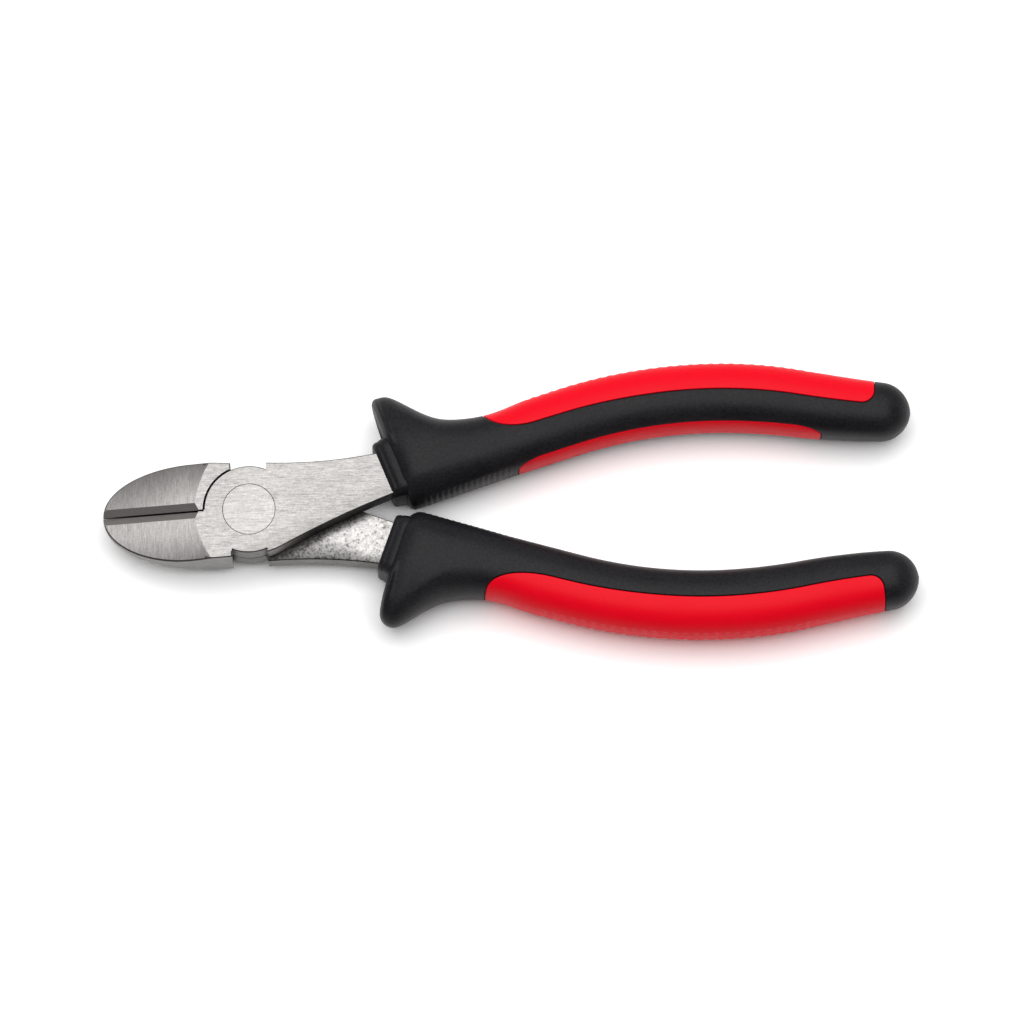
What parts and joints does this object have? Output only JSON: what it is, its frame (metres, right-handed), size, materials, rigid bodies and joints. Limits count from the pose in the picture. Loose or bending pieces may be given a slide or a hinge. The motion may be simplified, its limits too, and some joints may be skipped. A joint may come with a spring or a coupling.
{
  "type": "side cutters",
  "caption": "Side cutters with ground steel jaws crossing on a flush rivet, and bowed black and red moulded grips with finger guards.",
  "frame": {"origin": "on the pivot axis at the ground back face of the joint", "axes": "+X from the pivot toward the handles along the length of the shut tool, +Y toward the handle of the front lever, +Z along the rivet, out of the front face of the joint"},
  "size_m": [0.1599, 0.0562, 0.0148],
  "materials": {
    "lever_steel": "ground faces, forged neck and tang",
    "rivet_steel": "ground flush",
    "core_plastic": "matt black",
    "black_rubber": "satin black",
    "red_rubber": "satin red"
  },
  "bodies": {
    "rear_half": {"rear_lever": "lever_steel", "rear_grip_core": "core_plastic", "rear_grip_shell": "black_rubber", "rear_outer_pad": "red_rubber", "rear_inner_pad": "red_rubber", "pivot_rivet": "rivet_steel"},
    "front_half": {"front_lever": "lever_steel", "front_grip_core": "core_plastic", "front_grip_shell": "black_rubber", "front_outer_pad": "red_rubber", "front_inner_pad": "red_rubber"}
  },
  "joints": [
    {"name": "jaw_pivot", "type": "hinge", "parent": "rear_half", "child": "front_half", "pos_m": [0, 0, 0.0042], "axis": [0, 0, 1], "range_deg": [0, 38]}
  ]
}
